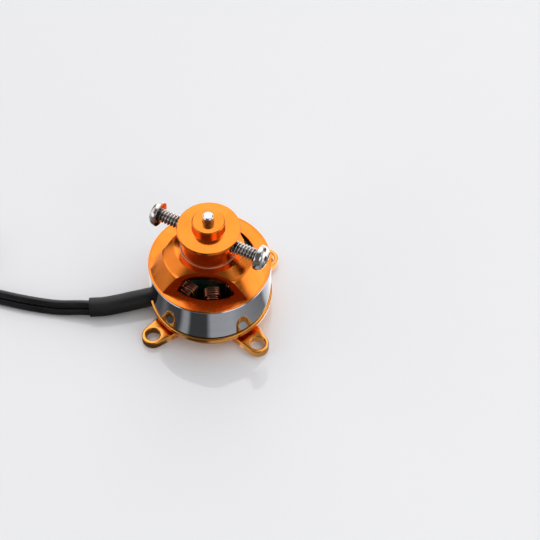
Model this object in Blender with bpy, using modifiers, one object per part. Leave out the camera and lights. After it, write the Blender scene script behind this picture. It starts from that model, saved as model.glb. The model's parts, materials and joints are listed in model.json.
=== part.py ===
"""Small brushless outrunner motor with a prop-saver hub, modelled in metres with +Z up the shaft.

The origin is the centre of the mounting face. The mount base and the wound stator stand still; the bell, the
flux ring with its magnets, the shaft and the prop-saver hub turn together on two ball bearings.
"""

import math

import bmesh
import bpy
from mathutils import Matrix, Vector

MM = 0.001

# Driving dimensions, in millimetres.
CAN_RADIUS = 11.4
ROUND_SEGMENTS = 60
SMALL_SEGMENTS = 28

BASE_DISC_RADIUS = 11.65
BASE_BODY_RADIUS = 10.0
BASE_DISC_BOTTOM = 2.8
BASE_DISC_TOP = 4.0
EAR_THICKNESS = 1.7
EAR_HOLE_CIRCLE = 13.95
EAR_HOLE_RADIUS = 1.35
EAR_TIP_RADIUS = 2.1
EAR_ROOT_HALF_WIDTH = 2.95
EAR_ROOT_REACH = 8.0
EAR_ANGLES = (45, 135, 225, 315)
UNDERSIDE_RECESS_RADIUS = 2.75
UNDERSIDE_RECESS_DEPTH = 1.0

RING_BOTTOM = 4.3
RING_TOP = 12.6
RING_INNER_RADIUS = 10.4
RING_BEVEL = 0.25

BELL_LIP_TOP = 13.0
BELL_LIP_INNER = 10.6
BELL_BOTTOM = 12.2
BELL_WINDOW_RADIUS = 8.72
BELL_INNER_RADIUS = 8.6
BELL_SHOULDER_RADIUS = 8.6
BELL_SHOULDER_TOP = 16.6
BELL_CROWN_RADIUS = 6.4
BELL_CROWN_TOP = 18.0
BELL_BOSS_RADIUS = 2.6
BELL_BOSS_BOTTOM = 15.2
BELL_CEILING = 16.2
WINDOW_ANGLES = (30, 150, 270)
WINDOW_NEAR = 6.2
WINDOW_CURVE = 19.0
LEDGE_TOP = 12.95
LEDGE_STEP = 0.12

TUBE_INNER_RADIUS = 2.56
TUBE_OUTER_RADIUS = 3.2
TUBE_BOTTOM = 1.05
TUBE_TOP = 14.6

BEARING_WIDTH = 2.3
BEARING_OUTER_RADIUS = 2.5
BEARING_BALL_CIRCLE = 1.75
BEARING_BALL_RADIUS = 0.38
BEARING_BALLS = 7
BEARING_CENTRES = {"lower": 2.45, "upper": 13.35}

SHAFT_RADIUS = 1.0
SHAFT_BORE = 1.02
SHAFT_BOTTOM = 0.25
SHAFT_TOP = 27.0
CLIP_GROOVE = (0.4, 0.9)
CLIP_GROOVE_RADIUS = 0.8

HUB_BODY_RADIUS = 5.2
HUB_BOTTOM = 18.05
HUB_FLANGE_RADIUS = 5.8
HUB_FLANGE_BOTTOM = 22.6
HUB_FLANGE_TOP = 23.3
HUB_BOSS_RADIUS = 3.0
HUB_BOSS_TOP = 25.4

SCREW_HEIGHT = 20.95
SCREW_ANGLES = (-22.5, 157.5)
SCREW_RADIUS = 1.25
SCREW_HEAD_RADIUS = 2.38
SCREW_HEAD_THICKNESS = 1.8
SCREW_REACH = 11.85
SCREW_TIP = 1.06

TEETH = 9
STATOR_BOTTOM = 5.8
STATOR_TOP = 11.8
STATOR_RADIUS = 9.0
STATOR_BORE = 3.23
TOOTH_HALF_WIDTH = 0.7
TOOTH_ROOT_RADIUS = 4.5
SHOE_INNER_RADIUS = 8.3
SHOE_HALF_ANGLE = 17.0

COIL_REACH = (4.95, 8.1)
COIL_HALF_WIDTH = 1.62
COIL_HALF_HEIGHT = 4.2
COIL_CORNER = 0.8
COIL_HOLE_HALF_WIDTH = 0.76
COIL_HOLE_HALF_HEIGHT = 3.06

MAGNETS = 12
MAGNET_REACH = (9.25, 10.35)
MAGNET_HALF_ANGLE = 13.4
MAGNET_SPAN = (5.0, 12.15)

# The leads: a heat-shrink sleeve, three wires in a close bundle, and a coil with its tie and connectors.
SLEEVE_RADIUS = 1.86
SLEEVE_ROUTE = (
    (-8.9, -0.9, 2.15), (-11.5, -1.8, 2.15), (-14.2, -2.75, 2.1),
    (-17.0, -3.75, 2.0), (-19.8, -4.6, 1.92), (-22.5, -5.05, 1.9),
)
WIRE_RADIUS = 0.75
WIRE_PITCH = 1.55
GROUND_HEIGHT = WIRE_RADIUS + 0.01
BUNDLE_ROUTE = (
    (-22.85, -5.05), (-25.5, -5.1), (-28.3, -5.07), (-32.2, -4.84), (-36.1, -4.4),
    (-40.1, -3.76), (-46.0, -2.84), (-55.7, -1.48),
)
BUNDLE_POINTS = 16
FLATTENS = (18.0, 25.5)
LIFTS = (25.5, 31.0)
SLEEVE_END_LIFT = 0.75
SETTLES = 7.0
COIL_TURN_RADIUS = 7.25
COIL_SOLID_SPAN = (0.55, 3.45)
COIL_LIFT = 0.5
TAIL_LENGTHS = (19.5, 14.5, 9.5)
TAIL_FAN = 3.0
CONNECTOR_RADIUS = 1.3
CONNECTOR_LENGTH = 12.0
TIE_WIDTH = 2.4
TIE_THICKNESS = 0.5
TOUCH_GAP = 0.3

COLOURS = {
    "orange_anodised": ((0.80, 0.26, 0.03), 0.28, 1.0),
    "base_anodised": ((0.78, 0.33, 0.05), 0.28, 1.0),
    "polished_steel": ((0.62, 0.63, 0.65), 0.08, 1.0),
    "shaft_steel": ((0.70, 0.70, 0.72), 0.2, 1.0),
    "nickel_screw": ((0.72, 0.70, 0.67), 0.15, 1.0),
    "magnet": ((0.20, 0.20, 0.22), 0.35, 1.0),
    "stator_epoxy": ((0.01, 0.06, 0.04), 0.45, 0.0),
    "copper_winding": ((0.72, 0.25, 0.10), 0.3, 1.0),
    "bearing_steel": ((0.60, 0.60, 0.62), 0.2, 1.0),
    "brass_tube": ((0.70, 0.52, 0.22), 0.3, 1.0),
    "spring_steel": ((0.25, 0.25, 0.27), 0.35, 1.0),
    "heat_shrink": ((0.015, 0.015, 0.016), 0.6, 0.0),
    "wire_silicone": ((0.012, 0.012, 0.013), 0.4, 0.0),
    "connector_gold": ((0.85, 0.60, 0.20), 0.2, 1.0),
    "tie_nylon": ((0.02, 0.02, 0.02), 0.5, 0.0),
}


def clear_scene():
    for old in list(bpy.data.objects):
        bpy.data.objects.remove(old, do_unlink=True)


def make_collection(name):
    made = bpy.data.collections.new(name)
    bpy.context.scene.collection.children.link(made)
    return made


def make_materials():
    made = {}
    for name, (colour, roughness, metallic) in COLOURS.items():
        material = bpy.data.materials.new(name)
        material.use_nodes = True
        shader = material.node_tree.nodes["Principled BSDF"]
        shader.inputs["Base Color"].default_value = (*colour, 1.0)
        shader.inputs["Roughness"].default_value = roughness
        shader.inputs["Metallic"].default_value = metallic
        made[name] = material
    return made


def add_object(name, data, material=None, collection=None):
    made = bpy.data.objects.new(name, data)
    (collection or PARTS).objects.link(made)
    if material:
        data.materials.append(MATERIALS[material])
    return made


def polar(radius, degrees):
    angle = math.radians(degrees)
    return radius * math.cos(angle), radius * math.sin(angle)


def turned(name, profile, material=None, segments=ROUND_SEGMENTS, closed=True, collection=None):
    """A turned solid from (radius, height) points that run down the outer side first, in millimetres."""
    mesh = bpy.data.meshes.new(name)
    work = bmesh.new()
    points = [work.verts.new((radius * MM, 0.0, height * MM)) for radius, height in profile]
    for first, second in zip(points, points[1:]):
        work.edges.new((first, second))
    if closed:
        work.edges.new((points[-1], points[0]))
    work.to_mesh(mesh)
    work.free()
    made = add_object(name, mesh, material, collection)
    screw = made.modifiers.new("turn", "SCREW")
    screw.steps = segments
    screw.render_steps = segments
    screw.use_merge_vertices = True
    screw.merge_threshold = 0.000002
    return made


def arc(centre, radius, start, end, steps):
    """Points on an arc, with both ends, in millimetres and degrees."""
    found = []
    for step in range(steps + 1):
        x, y = polar(radius, start + (end - start) * step / steps)
        found.append((centre[0] + x, centre[1] + y))
    return found


def plate(name, outlines, bottom, top, material=None, collection=None):
    """A flat solid between two heights, from a closed outline and any hole outlines inside it."""
    curve = bpy.data.curves.new(name, "CURVE")
    curve.dimensions = "2D"
    curve.fill_mode = "BOTH"
    curve.extrude = (top - bottom) * MM / 2
    for outline in outlines:
        spline = curve.splines.new("POLY")
        spline.points.add(len(outline) - 1)
        for point, (x, y) in zip(spline.points, outline):
            point.co = (x * MM, y * MM, 0.0, 1.0)
        spline.use_cyclic_u = True
    guide = add_object(name, curve, None, collection)
    guide.location.z = (top + bottom) * MM / 2
    return as_mesh(guide, material, collection)


def as_mesh(guide, material=None, collection=None):
    """Turns a curve object into a closed mesh object with the same name and place, and removes the curve."""
    name = guide.name
    bpy.context.view_layer.update()
    place = guide.matrix_world.copy()
    evaluated = guide.evaluated_get(bpy.context.evaluated_depsgraph_get())
    mesh = bpy.data.meshes.new_from_object(evaluated)
    work = bmesh.new()
    work.from_mesh(mesh)
    bmesh.ops.remove_doubles(work, verts=work.verts, dist=0.000002)
    bmesh.ops.recalc_face_normals(work, faces=work.faces)
    work.to_mesh(mesh)
    work.free()
    bpy.data.objects.remove(guide, do_unlink=True)
    mesh.materials.clear()
    made = add_object(name, mesh, material, collection)
    made.matrix_world = place
    return made


def cut(target, cutter, operation="DIFFERENCE"):
    cutter.hide_render = True
    cutter.display_type = "WIRE"
    boolean = target.modifiers.new(cutter.name, "BOOLEAN")
    boolean.operation = operation
    boolean.object = cutter
    boolean.solver = "EXACT"


def smooth_spline(route, samples):
    """Evenly spaced points on a Catmull-Rom curve through the route's points, in millimetres."""
    points = [Vector(point) for point in route]
    padded = [points[0] * 2 - points[1], *points, points[-1] * 2 - points[-2]]
    dense = []
    for before, start, end, after in zip(padded, padded[1:], padded[2:], padded[3:]):
        for step in range(40):
            t = step / 40
            dense.append(
                0.5 * (
                    2 * start
                    + (end - before) * t
                    + (2 * before - 5 * start + 4 * end - after) * t * t
                    + (3 * start - before - 3 * end + after) * t ** 3
                )
            )
    dense.append(points[-1])
    lengths = [0.0]
    for first, second in zip(dense, dense[1:]):
        lengths.append(lengths[-1] + (second - first).length)
    found = []
    place = 0
    for step in range(samples):
        wanted = lengths[-1] * step / (samples - 1)
        while place < len(dense) - 2 and lengths[place + 1] < wanted:
            place += 1
        span = max(lengths[place + 1] - lengths[place], 1e-9)
        found.append(dense[place].lerp(dense[place + 1], (wanted - lengths[place]) / span))
    return found


def tube(name, points, radius, material):
    """A closed round tube along points in millimetres."""
    curve = bpy.data.curves.new(name, "CURVE")
    curve.dimensions = "3D"
    curve.bevel_depth = radius * MM
    curve.bevel_resolution = 2
    curve.use_fill_caps = True
    spline = curve.splines.new("POLY")
    spline.points.add(len(points) - 1)
    for point, place in zip(spline.points, points):
        point.co = (*(Vector(place) * MM), 1.0)
    return add_object(name, curve, material)


def ear_outline(degrees):
    """A mounting ear as seen from above: a taper from the base to a round tip."""
    tip = EAR_HOLE_CIRCLE
    lean = math.degrees(math.atan2(EAR_ROOT_HALF_WIDTH - EAR_TIP_RADIUS, tip - EAR_ROOT_REACH))
    points = [(EAR_ROOT_REACH, EAR_ROOT_HALF_WIDTH), (EAR_ROOT_REACH, -EAR_ROOT_HALF_WIDTH)]
    points += arc((tip, 0.0), EAR_TIP_RADIUS, -90 + lean, 90 - lean, 10)
    turn = Matrix.Rotation(math.radians(degrees), 2)
    return [tuple(turn @ Vector(point)) for point in points]


def make_base():
    base = turned("mount_base", (
        (BASE_DISC_RADIUS - 0.35, BASE_DISC_TOP), (BASE_DISC_RADIUS, BASE_DISC_TOP - 0.35),
        (BASE_DISC_RADIUS, BASE_DISC_BOTTOM + 0.3), (BASE_DISC_RADIUS - 0.3, BASE_DISC_BOTTOM),
        (BASE_BODY_RADIUS, BASE_DISC_BOTTOM), (BASE_BODY_RADIUS, 0.0), (UNDERSIDE_RECESS_RADIUS, 0.0),
        (UNDERSIDE_RECESS_RADIUS, UNDERSIDE_RECESS_DEPTH), (TUBE_OUTER_RADIUS + 0.03, UNDERSIDE_RECESS_DEPTH),
        (TUBE_OUTER_RADIUS + 0.03, BASE_DISC_TOP),
    ), "base_anodised")
    for number, degrees in enumerate(EAR_ANGLES):
        ear = plate(f"ear_form_{number}", [ear_outline(degrees)], 0.0, EAR_THICKNESS, collection=CUTTERS)
        cut(base, ear, "UNION")
    for number, degrees in enumerate(EAR_ANGLES):
        centre = polar(EAR_HOLE_CIRCLE, degrees)
        hole = plate(
            f"ear_hole_{number}", [arc(centre, EAR_HOLE_RADIUS, 0, 345, 23)], -1.0, EAR_THICKNESS + 1.0,
            collection=CUTTERS,
        )
        cut(base, hole)
    half = SLEEVE_RADIUS + 0.3
    notch = plate(
        "lead_notch", [[(-0.8, -half), (4.5, -half), (4.5, half), (-0.8, half)]], -1.0, BASE_DISC_TOP + 1.0,
        collection=CUTTERS,
    )
    start, outside = Vector(SLEEVE_ROUTE[0][:2]), Vector(SLEEVE_ROUTE[1][:2])
    notch.location += Vector((*start, 0.0)) * MM
    notch.rotation_euler.z = math.atan2(outside.y - start.y, outside.x - start.x)
    cut(base, notch)


def make_flux_ring():
    turned("flux_ring", (
        (CAN_RADIUS - RING_BEVEL, RING_TOP), (CAN_RADIUS, RING_TOP - RING_BEVEL),
        (CAN_RADIUS, RING_BOTTOM + 0.15), (CAN_RADIUS - 0.15, RING_BOTTOM),
        (RING_INNER_RADIUS, RING_BOTTOM), (RING_INNER_RADIUS, RING_TOP),
    ), "polished_steel")


def window_outline(outer_radius, degrees):
    """A window in the bell: inner edge on a wide curve, outer edge on a circle about the shaft."""
    centre = WINDOW_NEAR + WINDOW_CURVE
    cosine = (centre ** 2 + outer_radius ** 2 - WINDOW_CURVE ** 2) / (2 * centre * outer_radius)
    half = math.degrees(math.acos(cosine))
    x, y = polar(outer_radius, half)
    spread = math.degrees(math.atan2(y, centre - x))
    points = arc((0.0, 0.0), outer_radius, -half, half, 14)
    points += arc((centre, 0.0), WINDOW_CURVE, 180 - spread, 180 + spread, 8)[1:-1]
    turn = Matrix.Rotation(math.radians(degrees), 2)
    return [tuple(turn @ Vector(point)) for point in points]


def make_bell():
    bell = turned("bell", (
        (SHAFT_BORE, BELL_CROWN_TOP), (BELL_CROWN_RADIUS, BELL_CROWN_TOP),
        (BELL_SHOULDER_RADIUS, BELL_SHOULDER_TOP), (BELL_LIP_INNER, BELL_LIP_TOP),
        (CAN_RADIUS, BELL_LIP_TOP), (CAN_RADIUS, RING_TOP + 0.03), (RING_INNER_RADIUS - 0.04, RING_TOP + 0.03),
        (RING_INNER_RADIUS - 0.04, BELL_BOTTOM), (BELL_INNER_RADIUS, BELL_BOTTOM),
        (7.9, 15.2), (5.0, BELL_CEILING), (BELL_BOSS_RADIUS, BELL_CEILING),
        (BELL_BOSS_RADIUS, BELL_BOSS_BOTTOM), (SHAFT_BORE, BELL_BOSS_BOTTOM),
    ), "orange_anodised")
    for number, degrees in enumerate(WINDOW_ANGLES):
        ledge = plate(
            f"window_ledge_{number}", [window_outline(BELL_LIP_INNER + LEDGE_STEP, degrees)], LEDGE_TOP, 20.0,
            collection=CUTTERS,
        )
        cut(bell, ledge)
        opening = plate(
            f"window_opening_{number}", [window_outline(BELL_WINDOW_RADIUS, degrees)], 10.0, 19.0,
            collection=CUTTERS,
        )
        cut(bell, opening)


def make_bearing_tube():
    turned("bearing_tube", (
        (TUBE_OUTER_RADIUS, TUBE_TOP), (TUBE_OUTER_RADIUS, TUBE_BOTTOM),
        (TUBE_INNER_RADIUS, TUBE_BOTTOM), (TUBE_INNER_RADIUS, TUBE_TOP),
    ), "brass_tube", SMALL_SEGMENTS)


def make_bearing(place, centre):
    half = BEARING_WIDTH / 2
    turned(f"{place}_outer_race", (
        (BEARING_OUTER_RADIUS, centre + half), (BEARING_OUTER_RADIUS, centre - half),
        (2.08, centre - half), (2.08, centre - 0.35), (2.16, centre - 0.13),
        (2.16, centre + 0.13), (2.08, centre + 0.35), (2.08, centre + half),
    ), "bearing_steel", SMALL_SEGMENTS)
    turned(f"{place}_inner_race", (
        (1.42, centre + half), (1.42, centre + 0.35), (1.34, centre + 0.13), (1.34, centre - 0.13),
        (1.42, centre - 0.35), (1.42, centre - half), (SHAFT_BORE, centre - half), (SHAFT_BORE, centre + half),
    ), "bearing_steel", SMALL_SEGMENTS)
    cage = turned(f"{place}_ball_cage", (
        (1.9, centre + 0.2), (1.9, centre - 0.2), (1.6, centre - 0.2), (1.6, centre + 0.2),
    ), "brass_tube", 21)
    mesh = bpy.data.meshes.new(f"{place}_balls")
    work = bmesh.new()
    for ball in range(BEARING_BALLS):
        x, y = polar(BEARING_BALL_CIRCLE, 360 * ball / BEARING_BALLS)
        bmesh.ops.create_uvsphere(
            work, u_segments=8, v_segments=6, radius=BEARING_BALL_RADIUS * MM,
            matrix=Matrix.Translation(Vector((x, y, centre)) * MM),
        )
    work.to_mesh(mesh)
    work.free()
    cut(cage, add_object(f"{place}_balls", mesh, None, CUTTERS), "UNION")


def make_shaft():
    low, high = CLIP_GROOVE
    turned("shaft", (
        (0.0, SHAFT_TOP), (0.72, SHAFT_TOP), (SHAFT_RADIUS, SHAFT_TOP - 0.28), (SHAFT_RADIUS, high),
        (CLIP_GROOVE_RADIUS, high), (CLIP_GROOVE_RADIUS, low), (SHAFT_RADIUS, low),
        (SHAFT_RADIUS, SHAFT_BOTTOM), (0.0, SHAFT_BOTTOM),
    ), "shaft_steel", SMALL_SEGMENTS, closed=False)


def make_shims_and_clip():
    spans = {
        "upper_shim": (BEARING_CENTRES["upper"] + BEARING_WIDTH / 2 + 0.03, BELL_BOSS_BOTTOM - 0.03),
        "lower_shim": (CLIP_GROOVE[1] + 0.02, BEARING_CENTRES["lower"] - BEARING_WIDTH / 2 - 0.03),
    }
    for name, (bottom, top) in spans.items():
        turned(name, ((1.5, top), (1.5, bottom), (SHAFT_BORE, bottom), (SHAFT_BORE, top)),
               "shaft_steel", SMALL_SEGMENTS)
    bottom, top = CLIP_GROOVE[0] + 0.05, CLIP_GROOVE[1] - 0.05
    clip = turned("retaining_clip", ((2.2, top), (2.2, bottom), (0.83, bottom), (0.83, top)),
                  "spring_steel", SMALL_SEGMENTS)
    mouth = plate("clip_mouth", [[(-0.6, -3.0), (0.6, -3.0), (0.6, 0.0), (-0.6, 0.0)]], 0.0, 1.5,
                  collection=CUTTERS)
    cut(clip, mouth)


def radial_matrix(degrees, height):
    """Turns a piece made along +Z so that it points outward from the shaft at this angle and height."""
    outward = Matrix.Rotation(math.radians(degrees), 4, "Z") @ Matrix.Rotation(math.radians(90), 4, "Y")
    return Matrix.Translation((0.0, 0.0, height * MM)) @ outward


def make_hub():
    hub = turned("prop_saver_hub", (
        (SHAFT_BORE, HUB_BOSS_TOP), (HUB_BOSS_RADIUS - 0.3, HUB_BOSS_TOP),
        (HUB_BOSS_RADIUS, HUB_BOSS_TOP - 0.3), (HUB_BOSS_RADIUS, HUB_FLANGE_TOP),
        (HUB_FLANGE_RADIUS, HUB_FLANGE_TOP), (HUB_FLANGE_RADIUS, HUB_FLANGE_BOTTOM),
        (HUB_BODY_RADIUS, HUB_FLANGE_BOTTOM - 0.3), (HUB_BODY_RADIUS, HUB_BOTTOM), (SHAFT_BORE, HUB_BOTTOM),
    ), "orange_anodised", 48)
    for number, degrees in enumerate(SCREW_ANGLES, 1):
        radius = SCREW_RADIUS + 0.03
        hole = turned(f"screw_hole_{number}", ((0.0, 8.0), (radius, 8.0), (radius, 0.2), (0.0, 0.2)),
                      segments=24, closed=False, collection=CUTTERS)
        hole.matrix_world = radial_matrix(degrees, SCREW_HEIGHT)
        cut(hub, hole)


def make_prop_screws():
    top = SCREW_REACH
    seat = top - SCREW_HEAD_THICKNESS
    for number, degrees in enumerate(SCREW_ANGLES, 1):
        screw = turned(f"prop_screw_{number}", (
            (0.0, top), (1.4, top), (2.05, top - 0.3), (SCREW_HEAD_RADIUS, top - 0.85),
            (SCREW_HEAD_RADIUS, seat), (SCREW_RADIUS, seat), (SCREW_RADIUS, SCREW_TIP + 0.25),
            (SCREW_RADIUS - 0.25, SCREW_TIP), (0.0, SCREW_TIP),
        ), "nickel_screw", 24, closed=False)
        screw.matrix_world = radial_matrix(degrees, SCREW_HEIGHT)


def stator_outline():
    pitch = 360 / TEETH
    outline = []
    root = math.degrees(math.asin(TOOTH_HALF_WIDTH / TOOTH_ROOT_RADIUS))
    neck = math.degrees(math.asin(TOOTH_HALF_WIDTH / SHOE_INNER_RADIUS))
    for tooth in range(TEETH):
        middle = tooth * pitch
        outline += [polar(TOOTH_ROOT_RADIUS, middle - root), polar(SHOE_INNER_RADIUS, middle - neck)]
        outline.append(polar(SHOE_INNER_RADIUS + 0.25, middle - SHOE_HALF_ANGLE))
        outline += arc((0.0, 0.0), STATOR_RADIUS, middle - SHOE_HALF_ANGLE, middle + SHOE_HALF_ANGLE, 4)
        outline.append(polar(SHOE_INNER_RADIUS + 0.25, middle + SHOE_HALF_ANGLE))
        outline += [polar(SHOE_INNER_RADIUS, middle + neck), polar(TOOTH_ROOT_RADIUS, middle + root)]
    return outline


def make_stator_core():
    plate("stator_core", [stator_outline(), arc((0.0, 0.0), STATOR_BORE, 0, 350, 35)],
          STATOR_BOTTOM, STATOR_TOP, "stator_epoxy")


def rounded_rectangle(half_x, half_y, corner, steps=3):
    points = []
    for sign_x, sign_y, start in ((1, 1, 0), (-1, 1, 90), (-1, -1, 180), (1, -1, 270)):
        centre = (sign_x * (half_x - corner), sign_y * (half_y - corner))
        points += arc(centre, corner, start, start + 90, steps)
    return points


def make_coils():
    """One wound coil round each tooth: a rounded rectangular loop whose opening the tooth passes through."""
    outlines = [
        rounded_rectangle(COIL_HALF_HEIGHT, COIL_HALF_WIDTH, COIL_CORNER),
        rounded_rectangle(COIL_HOLE_HALF_HEIGHT, COIL_HOLE_HALF_WIDTH, 0.05, 1),
    ]
    middle = (STATOR_BOTTOM + STATOR_TOP) / 2
    for tooth in range(TEETH):
        coil = plate(f"coil_{tooth + 1}", outlines, *COIL_REACH, "copper_winding")
        coil.data.transform(Matrix.Translation((0.0, 0.0, sum(COIL_REACH) * MM / 2)))
        coil.matrix_world = radial_matrix(360 * tooth / TEETH, middle)


def make_magnets():
    inner, outer = MAGNET_REACH
    for number in range(MAGNETS):
        middle = 360 * number / MAGNETS + 15
        outline = arc((0.0, 0.0), outer, middle - MAGNET_HALF_ANGLE, middle + MAGNET_HALF_ANGLE, 4)
        outline += arc((0.0, 0.0), inner, middle + MAGNET_HALF_ANGLE, middle - MAGNET_HALF_ANGLE, 4)
        plate(f"magnet_{number + 1}", [outline], *MAGNET_SPAN, "magnet")


def bundle_line():
    """The middle of the three wires on the ground plane, as evenly spaced points."""
    return smooth_spline([(x, y, 0.0) for x, y in BUNDLE_ROUTE], BUNDLE_POINTS)


def share_between(value, span):
    """How far a value has gone through a span, from 0 before it to 1 after it, with soft ends."""
    share = min(max((value - span[0]) / (span[1] - span[0]), 0.0), 1.0)
    return share * share * (3 - 2 * share)


def wire_offset(number, travelled):
    """Where a wire lies in the bundle: how far to the left of its middle and how high its centre is.

    Two wires lie on the ground with the first on top of them. Before the coil they open out into a flat ribbon,
    which then rises onto the lower side of the tie.
    """
    side = WIRE_PITCH / 2 * (1 + share_between(travelled, FLATTENS))
    settling = SLEEVE_END_LIFT * (1 - share_between(travelled, (0.0, SETTLES)))
    height = GROUND_HEIGHT + settling + COIL_LIFT * share_between(travelled, LIFTS)
    if number == 1:
        return 0.0, height + math.sqrt(max(WIRE_PITCH ** 2 - side ** 2, 0.0))
    return (side if number == 2 else -side), height


def heading_at_coil():
    last, before = Vector(BUNDLE_ROUTE[-1]), Vector(BUNDLE_ROUTE[-2])
    return (last - before).normalized()


def coil_side(number):
    """A wire's place across the flat ribbon that the coil is wound from, to the left of its middle."""
    return (0.0, WIRE_PITCH, -WIRE_PITCH)[number - 1]


def ring_exit(number, reach):
    """How far from the tangent point a wire is clear of the coil's outside, which has this radius."""
    near = COIL_TURN_RADIUS + coil_side(number) - WIRE_RADIUS
    return math.sqrt(reach ** 2 - near ** 2) + TOUCH_GAP


def make_leads():
    tube("lead_sleeve", smooth_spline(SLEEVE_ROUTE, 7), SLEEVE_RADIUS, "heat_shrink")
    heading = heading_at_coil()
    left = Vector((-heading.y, heading.x))
    entry = Vector(BUNDLE_ROUTE[-1])
    outside = COIL_TURN_RADIUS + WIRE_PITCH + WIRE_RADIUS + 0.07
    line = bundle_line()
    for number in (1, 2, 3):
        points = []
        travelled = 0.0
        for place, (before, here, after) in enumerate(zip([line[0], *line], line, [*line[1:], line[-1]])):
            travelled += (here - before).length
            along = (after - before).normalized()
            side, height = wire_offset(number, travelled)
            spot = Vector((here.x - along.y * side, here.y + along.x * side, height))
            if (entry - spot.xy).dot(heading) > ring_exit(number, outside) + WIRE_RADIUS:
                points.append(spot)
        end = entry - heading * ring_exit(number, outside) + left * coil_side(number)
        points.append(Vector((*end, GROUND_HEIGHT + COIL_LIFT)))
        tube(f"lead_wire_{number}", points, WIRE_RADIUS, "wire_silicone")
    make_lead_coil(entry, heading, left, outside)
    make_tails(entry, heading, left, outside)


def make_lead_coil(entry, heading, left, outside):
    bottom, top = COIL_SOLID_SPAN
    inside = COIL_TURN_RADIUS - WIRE_PITCH - WIRE_RADIUS - 0.07
    centre = entry - left * COIL_TURN_RADIUS
    ring = turned("lead_coil", (
        (outside - 0.5, top), (outside, top - 0.5), (outside, bottom + 0.5), (outside - 0.5, bottom),
        (inside + 0.5, bottom), (inside, bottom + 0.5), (inside, top - 0.5), (inside + 0.5, top),
    ), "wire_silicone", 32)
    ring.location = (centre.x * MM, centre.y * MM, 0.0)
    half_width = (outside - inside) / 2 + 0.2
    half_height = (top - bottom) / 2 + 0.05
    outlines = [
        rounded_rectangle(half_width + TIE_THICKNESS, half_height + TIE_THICKNESS, 0.9),
        rounded_rectangle(half_width, half_height, 0.45),
    ]
    tie = plate("lead_tie", outlines, -TIE_WIDTH / 2, TIE_WIDTH / 2, "tie_nylon")
    across = Vector((*left, 0.0))
    up = Vector((0.0, 0.0, 1.0))
    middle = Vector((*entry, (top + bottom) / 2)) * MM
    turn = Matrix((across, up, across.cross(up))).transposed().to_4x4()
    tie.matrix_world = Matrix.Translation(middle) @ turn


def make_tails(entry, heading, left, outside):
    """The end of each wire past the coil, and the bullet connector on it, lying on the ground plane."""
    for number, length in zip((3, 1, 2), TAIL_LENGTHS):
        side = coil_side(number)
        fan = TAIL_FAN * side / WIRE_PITCH
        start = ring_exit(number, outside)
        top = COIL_SOLID_SPAN[1] - WIRE_RADIUS - 0.05
        route = []
        for step in range(5):
            share = step / 4
            ease = share_between(share, (0.0, 1.0))
            spot = entry + heading * (start + (length - start) * share) + left * (side + (fan - side) * ease)
            route.append((*spot, top + (CONNECTOR_RADIUS - top) * ease))
        tube(f"lead_tail_{number}", route, WIRE_RADIUS, "wire_silicone")
        connector = turned(f"bullet_connector_{number}", (
            (0.0, CONNECTOR_LENGTH), (0.6, CONNECTOR_LENGTH), (1.0, CONNECTOR_LENGTH - 0.8), (1.0, 6.4),
            (CONNECTOR_RADIUS, 6.2), (CONNECTOR_RADIUS, 0.2), (CONNECTOR_RADIUS - 0.2, 0.0), (0.0, 0.0),
        ), "connector_gold", 16, closed=False)
        spot = entry + heading * (length + TOUCH_GAP) + left * fan
        lie = Vector((*heading, 0.0)).to_track_quat("Z", "Y").to_matrix().to_4x4()
        connector.matrix_world = Matrix.Translation(Vector((*spot, CONNECTOR_RADIUS + 0.02)) * MM) @ lie


def shade():
    for made in PARTS.objects:
        if made.type == "MESH":
            made.data.shade_smooth()
            made.data.set_sharp_from_angle(angle=math.radians(35))


clear_scene()
PARTS = make_collection("brushless_outrunner_motor")
CUTTERS = make_collection("cutters")
MATERIALS = make_materials()
make_base()
make_bearing_tube()
for bearing_place, bearing_centre in BEARING_CENTRES.items():
    make_bearing(bearing_place, bearing_centre)
make_stator_core()
make_coils()
make_shaft()
make_shims_and_clip()
make_bell()
make_flux_ring()
make_magnets()
make_hub()
make_prop_screws()
make_leads()
shade()
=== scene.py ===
"""The looks of a small brushless outrunner motor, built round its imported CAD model.

Shapes are worked out in millimetres and become metres where a mesh or a curve is made.
"""
import json
import math

import bmesh
import bpy
from mathutils import Matrix, Vector


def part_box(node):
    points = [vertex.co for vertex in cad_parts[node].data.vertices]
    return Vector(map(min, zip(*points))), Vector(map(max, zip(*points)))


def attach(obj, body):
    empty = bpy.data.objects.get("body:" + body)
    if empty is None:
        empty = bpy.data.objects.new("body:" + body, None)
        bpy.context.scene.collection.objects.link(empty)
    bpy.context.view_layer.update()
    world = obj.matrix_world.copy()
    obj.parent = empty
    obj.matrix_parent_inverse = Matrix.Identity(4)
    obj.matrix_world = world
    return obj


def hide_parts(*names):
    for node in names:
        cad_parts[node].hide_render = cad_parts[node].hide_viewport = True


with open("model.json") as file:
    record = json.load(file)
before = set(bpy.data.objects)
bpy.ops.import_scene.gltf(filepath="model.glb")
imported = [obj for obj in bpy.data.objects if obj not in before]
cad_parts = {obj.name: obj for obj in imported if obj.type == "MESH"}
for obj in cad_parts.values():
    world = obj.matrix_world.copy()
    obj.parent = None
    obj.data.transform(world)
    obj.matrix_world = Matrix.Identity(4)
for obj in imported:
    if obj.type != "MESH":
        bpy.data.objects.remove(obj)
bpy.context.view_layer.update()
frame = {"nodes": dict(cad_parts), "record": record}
NODES = frame["nodes"]
MM = 0.001
TURN = 2 * math.pi


# Dimensions

def node_box(name):
    """A CAD node's lowest and highest corners, in millimetres."""
    low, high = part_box(name)
    return low / MM, high / MM


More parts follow.
